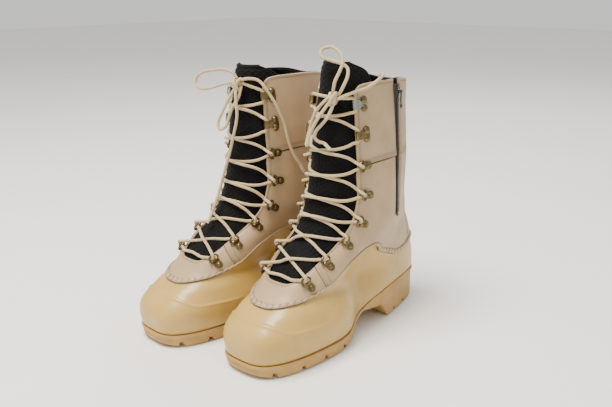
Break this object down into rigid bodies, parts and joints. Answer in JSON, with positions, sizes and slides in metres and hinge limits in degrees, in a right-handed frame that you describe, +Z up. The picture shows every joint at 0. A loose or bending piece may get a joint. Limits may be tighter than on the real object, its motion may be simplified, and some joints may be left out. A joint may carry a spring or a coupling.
{
  "type": "lace-up boots",
  "caption": "High lace-up boots with moulded foot shells, leather shafts, side zips, padded tongues and laces tied in bows.",
  "frame": {"origin": "middle of the standing pair, on the floor that both soles rest on", "axes": "+Z up; toes point to -Y; the wearer's left boot is on the +X side"},
  "size_m": [0.2373, 0.3249, 0.3367],
  "materials": {
    "sole_rubber": "moulded rubber, matt",
    "shell_rubber": "smooth moulded rubber, satin",
    "fibreboard": "pressed fibreboard",
    "spring_steel": "stamped steel",
    "footbed_fabric": "felt on foam",
    "counter_plastic": "moulded plastic",
    "lining_fabric": "padded knit",
    "leather": "smooth finished leather",
    "tongue_fabric": "coarse woven net over foam",
    "zip_fabric": "woven tape",
    "zip_plastic": "moulded plastic coil",
    "zip_metal": "black enamel",
    "fitting_brass": "antiqued brass",
    "lace_cotton": "braided round cord",
    "lace_tip": "moulded plastic film"
  },
  "bodies": {
    "left_boot": {"left_outsole": "sole_rubber", "left_rand": "sole_rubber", "left_shell": "shell_rubber", "left_insole_board": "fibreboard", "left_shank": "spring_steel", "left_footbed": "footbed_fabric", "left_heel_counter": "counter_plastic", "left_lining": "lining_fabric", "left_vamp": "leather", "left_lateral_quarter": "leather", "left_medial_quarter": "leather", "left_lateral_shaft": "leather", "left_medial_shaft": "leather", "left_back_stay": "leather", "left_edge_band": "leather", "left_tongue": "tongue_fabric", "left_zip_tape": "zip_fabric", "left_zip_chain": "zip_plastic", "left_hooks": "fitting_brass", "left_d_rings": "fitting_brass", "left_ring_clips": "fitting_brass", "left_rivets": "fitting_brass", "left_lace": "lace_cotton", "left_upright_loop": "lace_cotton", "left_hanging_loop": "lace_cotton", "left_collar_end": "lace_cotton", "left_short_end": "lace_cotton", "left_lace_tips": "lace_tip"},
    "left_slider": {"left_zip_slider": "zip_metal"},
    "left_pull": {"left_zip_pull": "zip_metal"},
    "right_boot": {"right_outsole": "sole_rubber", "right_rand": "sole_rubber", "right_shell": "shell_rubber", "right_insole_board": "fibreboard", "right_shank": "spring_steel", "right_footbed": "footbed_fabric", "right_heel_counter": "counter_plastic", "right_lining": "lining_fabric", "right_vamp": "leather", "right_lateral_quarter": "leather", "right_medial_quarter": "leather", "right_lateral_shaft": "leather", "right_medial_shaft": "leather", "right_back_stay": "leather", "right_edge_band": "leather", "right_tongue": "tongue_fabric", "right_zip_tape": "zip_fabric", "right_zip_chain": "zip_plastic", "right_hooks": "fitting_brass", "right_d_rings": "fitting_brass", "right_ring_clips": "fitting_brass", "right_rivets": "fitting_brass", "right_lace": "lace_cotton", "right_wide_loop": "lace_cotton", "right_hanging_loop": "lace_cotton", "right_front_end": "lace_cotton", "right_long_end": "lace_cotton", "right_lace_tips": "lace_tip"},
    "right_slider": {"right_zip_slider": "zip_metal"},
    "right_pull": {"right_zip_pull": "zip_metal"}
  },
  "joints": [
    {"name": "left_zip_slide", "type": "slide", "parent": "left_boot", "child": "left_slider", "axis": [0.0335, 0, -0.9994], "range_m": [0, 0.139]},
    {"name": "left_pull_hinge", "type": "hinge", "parent": "left_slider", "child": "left_pull", "pos_m": [0.10678, 0.08161, 0.28272], "axis": [0.1736, -0.9848, 0.0058], "range_deg": [0, 150]},
    {"name": "right_zip_slide", "type": "slide", "parent": "right_boot", "child": "right_slider", "axis": [-0.0334, 0.0023, -0.9994], "range_m": [0, 0.139]},
    {"name": "right_pull_hinge", "type": "hinge", "parent": "right_slider", "child": "right_pull", "pos_m": [-0.09691, 0.06743, 0.28272], "axis": [0.2418, 0.9703, -0.0058], "range_deg": [0, 150]},
    {"name": "right_boot_slide", "type": "slide", "parent": "left_boot", "child": "right_boot", "axis": [-1, 0, 0], "range_m": [0, 0.25]}
  ]
}
